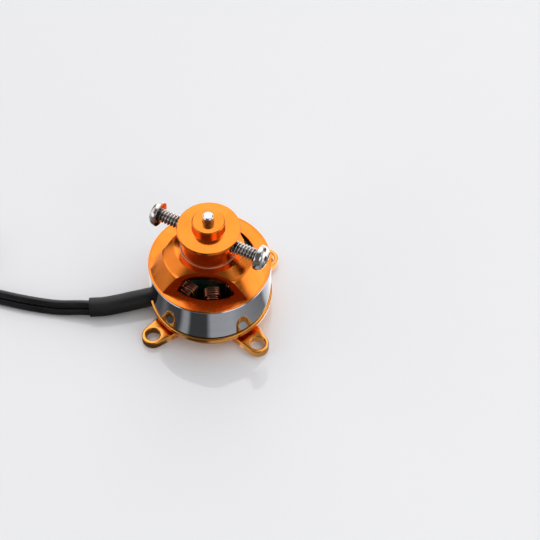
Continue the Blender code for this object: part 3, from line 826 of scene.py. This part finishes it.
def ear_outline(degrees):
    """A mounting ear as seen from above: a taper from the base to a round tip."""
    lean = math.degrees(math.atan2(EAR_ROOT_HALF_WIDTH - EAR_TIP_RADIUS, EAR_HOLE_CIRCLE - EAR_ROOT_REACH))
    points = [(EAR_ROOT_REACH, EAR_ROOT_HALF_WIDTH), (EAR_ROOT_REACH, -EAR_ROOT_HALF_WIDTH)]
    points += arc((EAR_HOLE_CIRCLE, 0.0), EAR_TIP_RADIUS, -90 + lean, 90 - lean, 32)
    turn = Matrix.Rotation(math.radians(degrees), 2)
    return [tuple(turn @ Vector(point)) for point in points]


def make_base():
    """The mount: a thin disc on a drum with four drilled ears, recessed below round the bearing tube."""
    recess_radius, recess_depth = UNDERSIDE_RECESS
    top, low = BASE_HIGH.z, BASE_LOW.z
    base = turned("base", (
        (BASE_DISC_RADIUS, top, 0.3), (BASE_DISC_RADIUS, BASE_DISC_BOTTOM, 0.25),
        (BASE_BODY_RADIUS, BASE_DISC_BOTTOM, 0.15), (BASE_BODY_RADIUS, low, 0.2), (recess_radius, low, 0.12),
        (recess_radius, recess_depth, 0.05), (BASE_BORE, recess_depth, 0), (BASE_BORE, top, 0.08),
    ))
    ears = []
    for degrees in EAR_ANGLES:
        hole = arc(polar(EAR_HOLE_CIRCLE, degrees), EAR_HOLE_RADIUS, 0, 350, 35)
        ears.append(plate(f"ear_{degrees}", [ear_outline(degrees), hole], low, EAR_THICKNESS, 0.22))
    combine(base, ears, "UNION")
    start, outside = Vector(SLEEVE_ROUTE[0][:2]), Vector(SLEEVE_ROUTE[1][:2])
    half = SLEEVE_RADIUS + 0.3
    notch = plate("notch", [rectangle(-0.8, 4.5, half)], -1.0, top + 1.0, 0.0)
    lie = Matrix.Rotation(math.atan2(outside.y - start.y, outside.x - start.x), 4, "Z")
    notch.matrix_world = Matrix.Translation(Vector((*start, 0.0)) * MM) @ lie
    combine(base, [notch], "DIFFERENCE")
    finish_piece(base, "stator", "base_anodised", "mount_base")


def make_ring():
    """The flux ring: a polished steel band with bright chamfers."""
    low, high = RING_LOW.z, RING_HIGH.z
    top_chamfer, low_chamfer = RING_CHAMFERS
    ring = turned("ring", (
        (CAN_RADIUS - top_chamfer, high, 0.05), (CAN_RADIUS, high - top_chamfer, 0.06),
        (CAN_RADIUS, low + low_chamfer, 0.06), (CAN_RADIUS - low_chamfer, low, 0.05),
        (RING_INNER_RADIUS, low, 0.08), (RING_INNER_RADIUS, high, 0.03),
    ), CAN_SEGMENTS)
    finish_piece(ring, "rotor", "polished_steel", "flux_ring")


def window_half_angle(radius):
    """Half the angle that a window takes up at a radius, in degrees."""
    if radius <= WINDOW_NEAR:
        return 0.0
    centre = WINDOW_NEAR + WINDOW_CURVE
    cosine = (centre ** 2 + radius ** 2 - WINDOW_CURVE ** 2) / (2 * centre * radius)
    return math.degrees(math.acos(cosine))


def radius_of_window(half_angle):
    """The radius at which a window's inner edge has this half angle."""
    centre = WINDOW_NEAR + WINDOW_CURVE
    x, y = polar(centre, half_angle)
    return x - math.sqrt(WINDOW_CURVE ** 2 - y ** 2)


def along_profile(profile, radius):
    """The height of a (radius, height) line at a radius."""
    for (near, low), (far, high) in zip(profile, profile[1:]):
        if near <= radius <= far:
            return low + (high - low) * (radius - near) / (far - near)
    return profile[-1][1]


def make_bell():
    """The bell: a crown plate and three wide arms between lens-shaped windows, standing on a lip ring."""
    shoulder_radius, shoulder_top = BELL_SHOULDER
    boss_radius, boss_bottom = BELL_BOSS
    crown = BELL_HIGH.z
    slope = (BELL_LIP_TOP - shoulder_top) / (BELL_LIP_INNER - shoulder_radius)
    foot = BELL_LIP_INNER + 0.12
    heel, instep = BELL_WINDOW_RADIUS - 0.06, BELL_WINDOW_RADIUS + 0.1
    upper = ((0.0, crown), (BELL_CROWN_RADIUS, crown), BELL_SHOULDER,
             (foot, shoulder_top + slope * (foot - shoulder_radius)))
    lower = ((0.0, boss_bottom), BELL_BOSS, (boss_radius + 0.1, BELL_CEILING[1]), BELL_CEILING, BELL_HAUNCH,
             (heel, ARM_BOTTOM - 0.15), (instep, ARM_BOTTOM), (foot, ARM_BOTTOM))
    radii = [SHAFT_BORE, 1.8, boss_radius, boss_radius + 0.1, 3.6, BELL_CEILING[0], 5.6, WINDOW_NEAR]
    radii += [radius_of_window(half) for half in (*range(3, 34, 3), 38.6, 40.5, 42.2)]
    radii += [BELL_CROWN_RADIUS, BELL_HAUNCH[0], shoulder_radius, heel, instep, foot]
    radii.sort()
    arms, across, last = len(ARM_ANGLES), 40, len(radii) - 1
    points, index, faces = [], {}, []

    def corner(arm, level, ring, step):
        """The number of a grid point; arms share their edges where there is no window between them."""
        radius = radii[ring]
        half = window_half_angle(radius)
        key = (level, ring, arm, step) if half else (level, ring, (arm * across + step) % (arms * across))
        if key not in index:
            angle = ARM_ANGLES[arm] + (60 - half) * (2 * step / across - 1)
            height = along_profile(lower if level else upper, radius)
            index[key] = len(points)
            points.append((*polar(radius, angle), height))
        return index[key]

    def add_face(arm, *corners):
        faces.append(tuple(corner(arm, *where) for where in corners))

    for arm in range(arms):
        for step in range(across):
            after = step + 1
            for ring in range(last):
                for level in (0, 1):
                    add_face(arm, (level, ring, step), (level, ring + 1, step), (level, ring + 1, after),
                             (level, ring, after))
            for ring in (0, last):
                add_face(arm, (0, ring, step), (1, ring, step), (1, ring, after), (0, ring, after))
        for ring in range(radii.index(WINDOW_NEAR), last):
            for step in (0, across):
                add_face(arm, (0, ring, step), (1, ring, step), (1, ring + 1, step), (0, ring + 1, step))
    bell = solid("bell_cap", points, faces)
    add_bevel(bell, 0.09, 3, 32)
    baked(bell)
    skirt = RING_HIGH.z + 0.03
    lip = turned("lip", (
        (CAN_RADIUS, BELL_LIP_TOP, 0.08), (CAN_RADIUS, skirt, 0.05), (RING_INNER_RADIUS - 0.04, skirt, 0),
        (RING_INNER_RADIUS - 0.04, BELL_LOW.z, 0.06), (BELL_WINDOW_RADIUS, BELL_LOW.z, 0.05),
        (BELL_WINDOW_RADIUS, BELL_LEDGE_TOP, 0.08), (BELL_LIP_INNER, BELL_LEDGE_TOP, 0.02),
        (BELL_LIP_INNER + 0.03, BELL_LIP_TOP, 0.01),
    ), CAN_SEGMENTS, steps=1)
    combine(bell, [lip], "UNION")
    finish_piece(bell, "rotor", "orange_anodised", "bell")


def make_hub():
    """The prop-saver hub: a drum with a flange and a boss, cross-drilled and tapped for two screws."""
    flange_low, flange_top = HUB_FLANGE
    hub = turned("hub", (
        (HUB_BOSS_RADIUS, HUB_HIGH.z, 0.28), (HUB_BOSS_RADIUS, flange_top, 0.08),
        (HUB_FLANGE_RADIUS, flange_top, 0.14), (HUB_FLANGE_RADIUS, flange_low, 0.3),
        (HUB_BODY_RADIUS, flange_low - 0.25, 0.2), (HUB_BODY_RADIUS, HUB_LOW.z + 0.02, 0.05),
        (SHAFT_BORE, HUB_LOW.z, 0), (SHAFT_BORE, HUB_HIGH.z, 0.1),
    ))
    holes = []
    for number, degrees in enumerate(SCREW_ANGLES, 1):
        radius = SCREW_RADIUS + 0.03
        hole = turned(f"hole_{number}", (
            (0.0, 8.0, 0), (1.75, 8.0, 0), (1.6, HUB_BODY_RADIUS + 0.15, 0),
            (radius, HUB_BODY_RADIUS - 0.2, 0), (radius, 0.3, 0), (0.0, 0.3, 0),
        ), 48)
        hole.matrix_world = radial_matrix(degrees, SCREW_HEIGHT)
        holes.append(hole)
    combine(hub, holes, "DIFFERENCE")
    finish_piece(hub, "rotor", "orange_anodised", "prop_saver_hub")
    # A thin pale ring round the hub's foot: a painted highlight for the bright line of light along it.
    inside, outside = HUB_BODY_RADIUS + 0.01, HUB_BODY_RADIUS + 0.15
    edge = turned("hub_foot", (
        (inside, HUB_LOW.z + 0.17, 0.05), (outside, HUB_LOW.z + 0.13, 0.06),
        (outside, HUB_LOW.z + 0.02, 0.02), (inside, HUB_LOW.z + 0.02, 0.02),
    ), 120)
    finish_piece(edge, "rotor", "orange_anodised", look="hub_foot_highlight")


def make_thread(name, bottom, top):
    """A screw thread along +Z as one closed surface, cut to a cone at its tip."""
    sides, rows_per_turn = 40, 12
    rows = int((top - bottom) / SCREW_PITCH * rows_per_turn)
    points = []
    for row in range(rows + 1):
        height = bottom + (top - bottom) * row / rows
        for step in range(sides):
            phase = (height / SCREW_PITCH + step / sides) % 1.0
            ridge = min(max(THREAD_CREST - THREAD_FLANK * abs(phase - 0.5), 0.0), 1.0)
            radius = SCREW_ROOT_RADIUS + (SCREW_RADIUS - SCREW_ROOT_RADIUS) * ridge
            radius = min(radius, SCREW_ROOT_RADIUS - 0.05 + (height - bottom) * THREAD_TIP_SLOPE)
            points.append((*polar(radius, 360 * step / sides), height))
    return solid(name, points, tube_faces(rows + 1, sides))


def cross_cutter(name, top):
    """The tapered cross that a screwdriver fits, as a cutter with its wide end above the screw head."""
    blades = []
    for turn in (CROSS_TURN, CROSS_TURN + 90):
        points = [(x, y, top + above) for above, reach, half in CROSS_SECTIONS
                  for x, y in rectangle(-reach, reach, half)]
        blade = solid(f"{name}_{turn}", points, tube_faces(2, 4))
        blade.data.transform(Matrix.Rotation(math.radians(turn), 4, "Z"))
        blades.append(blade)
    return combine(blades[0], blades[1:], "UNION")


def make_screws():
    """The two side screws: a pan head with a cross recess on a threaded shank."""
    tip, seat, top = SCREW_SPAN
    for number, degrees in enumerate(SCREW_ANGLES, 1):
        dome = []
        for step in range(DOME_STEPS + 1):
            angle = math.radians(90 * step / DOME_STEPS)
            dome.append((SCREW_HEAD_RADIUS * math.sin(angle) ** HEAD_ROUNDING,
                         seat + HEAD_RIM + (top - seat - HEAD_RIM) * math.cos(angle) ** HEAD_ROUNDING, 0))
        screw = turned(f"screw_{number}", (
            *dome, (SCREW_HEAD_RADIUS, seat, 0.16), (SCREW_RADIUS - 0.1, seat, 0),
            (SCREW_RADIUS - 0.1, seat - 0.3, 0), (0.0, seat - 0.3, 0),
        ), 72, steps=6)
        combine(screw, [cross_cutter(f"cross_{number}", top)], "DIFFERENCE")
        combine(screw, [make_thread(f"thread_{number}", tip, seat + 0.35)], "UNION")
        smoothed(screw, 40)
        screw.matrix_world = radial_matrix(degrees, SCREW_HEIGHT)
        finish_piece(screw, "rotor", "nickel_screw", f"prop_screw_{number}")


def make_shaft():
    """The shaft, with a chamfered tip and the groove that its clip sits in."""
    low, high = SHAFT_LOW.z, SHAFT_HIGH.z
    radius = SHAFT_HIGH.x
    groove_low, groove_high, groove_radius = 0.4, 0.9, 0.8
    shaft = turned("shaft_rod", (
        (0.0, high, 0), (radius - 0.24, high, 0.08), (radius, high - 0.26, 0.1), (radius, groove_high, 0.02),
        (groove_radius, groove_high, 0.02), (groove_radius, groove_low, 0.02), (radius, groove_low, 0.02),
        (radius, low, 0.03), (0.0, low, 0),
    ), 64)
    finish_piece(shaft, "rotor", "shaft_steel", "shaft")


def winding_loop(side, foot, top, steps=11):
    """One turn as (across the tooth, up) points: straight flanks and an arched end turn above and below."""
    arch = []
    for step in range(steps):
        angle = math.pi * (step + 0.5) / steps
        across = math.copysign(abs(math.cos(angle)) ** COIL_ROUNDING, math.cos(angle))
        arch.append((side * across, foot + (top - foot) * math.sin(angle) ** COIL_ROUNDING))
    return [*arch, *((-x, -y) for x, y in arch)]


def make_windings():
    """Nine coils of enamelled wire, each laid in ever shorter layers round its tooth in one unbroken line."""
    half_width, half_height = TOOTH_HALF
    first, last = COIL_REACH
    first_layer, layer_pitch = COIL_LAYER_PITCHES
    points = []
    for layer in range(COIL_LAYERS):
        out = COIL_WIRE_RADIUS * (first_layer + layer_pitch * layer)
        turns = range(layer, COIL_TURNS - layer)
        direction = -1 if layer % 2 else 1
        for turn in turns[::direction]:
            middling = math.sin(math.pi * (turn + 0.5) / COIL_TURNS)
            top = half_height + out + COIL_BULGE * middling
            loop = winding_loop(half_width + out, half_height - COIL_SINK, top)
            for place, (x, y) in enumerate(loop):
                share = turn + direction * place / len(loop) + (direction < 0)
                reach = first + COIL_WIRE_RADIUS + (last - first - 2 * COIL_WIRE_RADIUS) * share / COIL_TURNS
                points.append((y, x, reach))
    middle = (CORE_LOW.z + CORE_HIGH.z) / 2
    for tooth in range(TEETH):
        winding = tube_along(f"winding_{tooth + 1}", points, COIL_WIRE_RADIUS, 8)
        winding.matrix_world = radial_matrix(360 * tooth / TEETH, middle)
        finish_piece(winding, "stator", "copper_winding", f"coil_{tooth + 1}")


def dress_cad_nodes():
    """Finishes the CAD nodes that stay, with the material of each one's slot and softened edges."""
    edges = {"stator_core": 0.08, "bearing_tube": 0.06, "retaining_clip": 0.05, "upper_shim": 0.03,
             "lower_shim": 0.03}
    for part in frame["record"]["subparts"]:
        node = NODES[part["node"]]
        if node.hide_render:
            continue
        node.data.materials.clear()
        node.data.materials.append(MATERIALS[part["material_slot"]])
        width = 0.1 if part["node"].startswith("magnet") else edges.get(part["node"])
        if width:
            add_bevel(node, width, 2, 40)


make_base()
make_ring()
make_bell()
make_hub()
make_screws()
make_shaft()
make_windings()
dress_cad_nodes()


# Stage

FLOOR_RADIUS = 1.6
VIEW_TRANSFORM = "Standard"


def make_floor():
    """A wide pale sheet with a faint gloss."""
    paint = Paint("floor", Specular_IOR_Level=0.8)
    tone = paint.noise(3.0)
    paint.set("Base Color", paint.colour_between(tone, (0.815, 0.815, 0.82), (0.825, 0.825, 0.83)))
    paint.set("Roughness", paint.between(paint.noise(40.0), 0.035, 0.07))
    mesh = bpy.data.meshes.new("floor")
    work = bmesh.new()
    bmesh.ops.create_circle(work, cap_ends=True, radius=FLOOR_RADIUS, segments=96)
    work.to_mesh(mesh)
    work.free()
    mesh.materials.append(paint.material)
    add_object("floor", mesh)


# What the polished parts mirror low down: grey levels by angle from the front, positive to the right. The rim
# bands lie just outside the base, the near bands round them and the far bands beyond.
NEAR_BANDS = (
    (-180, 0.75), (-118, 0.95), (-98, 0.95), (-92, 0.60), (-86, 0.09), (-66, 0.08), (-58, 0.17),
    (-50, 0.07), (-34, 0.06), (-28, 0.36), (-23, 0.36), (-19, 0.055), (1, 0.055), (7, 0.42), (34, 0.46),
    (47, 0.34), (58, 0.28), (84, 0.19), (90, 0.66), (102, 1.0), (118, 1.4), (180, 0.75),
)
FAR_BANDS = (
    (-180, 1.5), (-130, 1.1), (-92, 0.6), (-60, 0.2), (-40, 0.12), (40, 0.12), (65, 0.4), (85, 1.7),
    (110, 1.9), (150, 1.5), (180, 1.5),
)
RIM_BANDS = (
    (-180, 0.75), (-110, 0.5), (-85, 0.15), (-55, 0.25), (-35, 0.5), (-15, 0.3), (12, 0.35), (30, 0.6),
    (44, 1.2), (56, 2.2), (76, 2.8), (90, 1.5), (110, 0.9), (180, 0.75),
)
CARD_EDGES = (11.75, 12.5, 12.8, 34.0, 48.0, 260.0)
CARD_HEIGHT = 0.05
CARD_SEGMENTS = 96


def band_colours(tree, around, bands):
    """A ramp through grey levels at angles, which the gradient round the Z axis picks from."""
    ramp = add_node(tree, "ValToRGB", {"Fac": around})
    elements = ramp.color_ramp.elements
    elements.remove(elements[1])
    for number, (angle, grey) in enumerate(bands):
        position = (angle + 180) / 360
        element = elements.new(position) if number else elements[0]
        element.position = position
        element.color = (grey, grey, grey * 1.03, 1.0)
    return ramp.outputs["Color"]


def card_material():
    """Bands of grey light that show from above alone, one set within another."""
    _, rim_end, near_start, near_end, far_start, _ = CARD_EDGES
    made = bpy.data.materials.new("card")
    made.use_nodes = True
    tree = made.node_tree
    tree.nodes.remove(tree.nodes["Principled BSDF"])
    place = add_node(tree, "TexCoord").outputs["Object"]
    spin = add_node(tree, "Mapping", {"Vector": place, "Rotation": (0.0, 0.0, math.radians(90))})
    around = add_node(tree, "TexGradient", {"Vector": spin.outputs["Vector"]}, gradient_type="RADIAL")
    reach = add_node(tree, "VectorMath", {0: place}, operation="LENGTH").outputs["Value"]
    shown = band_colours(tree, around.outputs["Fac"], RIM_BANDS)
    for bands, start, end in ((NEAR_BANDS, rim_end, near_start), (FAR_BANDS, near_end, far_start)):
        span = {"Value": reach, "From Min": start * MM, "From Max": end * MM}
        share = add_node(tree, "MapRange", span).outputs["Result"]
        links = {"Factor": share, "A": shown, "B": band_colours(tree, around.outputs["Fac"], bands)}
        shown = add_node(tree, "Mix", links, data_type="RGBA").outputs["Result"]
    shine = add_node(tree, "Emission", {"Color": shown}).outputs["Emission"]
    clear = add_node(tree, "BsdfTransparent").outputs["BSDF"]
    below = add_node(tree, "NewGeometry").outputs["Backfacing"]
    side = add_node(tree, "MixShader", {"Fac": below, 1: shine, 2: clear})
    tree.links.new(side.outputs["Shader"], tree.nodes["Material Output"].inputs["Surface"])
    return made


def make_reflection_card():
    """A ring of soft grey bands just over the floor that only reflections see."""
    points, faces = [], []
    for step in range(CARD_SEGMENTS):
        for radius in (CARD_EDGES[0], CARD_EDGES[-1]):
            points.append((*polar(radius, 360 * step / CARD_SEGMENTS), CARD_HEIGHT))
        ahead = (step + 1) % CARD_SEGMENTS
        faces.append((2 * step, 2 * step + 1, 2 * ahead + 1, 2 * ahead))
    mesh = bpy.data.meshes.new("card")
    mesh.from_pydata([[value * MM for value in point] for point in points], [], faces)
    mesh.materials.append(card_material())
    card = add_object("card", mesh)
    for ray in ("camera", "diffuse", "shadow", "transmission"):
        setattr(card, f"visible_{ray}", False)


# Soft glows in the surroundings: direction, the cosines where each starts and is full, and brightness.
GLOWS = (
    ((-0.04, 0.57, 0.82), 0.80, 0.93, 1.0),
    ((0.0, 1.0, 0.1), 0.78, 0.95, 1.0),
    ((-0.86, 0.12, 0.50), 0.84, 0.96, 0.80),
    ((0.76, 0.07, 0.64), 0.86, 0.96, 0.55),
    ((1.0, 0.0, 0.05), 0.90, 0.99, 1.6),
    ((-1.0, -0.05, 0.0), 0.90, 0.99, 0.5),
    ((-0.78, -0.50, 0.36), 0.93, 0.98, 1.2),
    ((0.62, -0.68, 0.40), 0.94, 0.98, 1.2),
)
DIM_STUDIO = 0.13


def make_world():
    """Studio surroundings: bright at the back and sides, dim in front."""
    world = bpy.data.worlds.new("studio")
    bpy.context.scene.world = world
    world.use_nodes = True
    tree = world.node_tree
    place = add_node(tree, "TexCoord").outputs["Generated"]
    total = DIM_STUDIO
    for direction, start, full, strength in GLOWS:
        toward = add_node(tree, "VectorMath", {0: place, 1: direction}, operation="DOT_PRODUCT")
        span = {"Value": toward.outputs["Value"], "From Min": start, "From Max": full, "To Max": strength}
        glow = add_node(tree, "MapRange", span, interpolation_type="SMOOTHSTEP").outputs["Result"]
        total = add_node(tree, "Math", {0: glow, 1: total}, operation="ADD").outputs[0]
    backdrop = tree.nodes["Background"]
    tree.links.new(total, backdrop.inputs["Strength"])
    backdrop.inputs["Color"].default_value = (1.0, 1.0, 1.03, 1.0)


def soft_light(name, place, target, size, power, mirrored=True):
    light = bpy.data.lights.new(name, "AREA")
    light.shape = "RECTANGLE"
    light.size, light.size_y = size
    light.energy = power
    made = add_object(name, light)
    made.location = place
    made.rotation_euler = (Vector(target) - Vector(place)).to_track_quat("-Z", "Y").to_euler()
    made.visible_glossy = mirrored


def make_lights():
    soft_light("back_light", (0.05, 0.75, 1.0), (0, 0, 0), (1.3, 0.8), 1.6)
    soft_light("key_light", (0.32, 0.12, 0.45), (0.04, 0, 0), (0.36, 0.36), 0.42, False)
    soft_light("fill_light", (0.3, -0.45, 1.1), (0.1, -0.05, 0), (1.6, 1.6), 5.0, False)


make_floor()
make_reflection_card()
make_world()
make_lights()
bpy.context.scene.view_settings.view_transform = VIEW_TRANSFORM
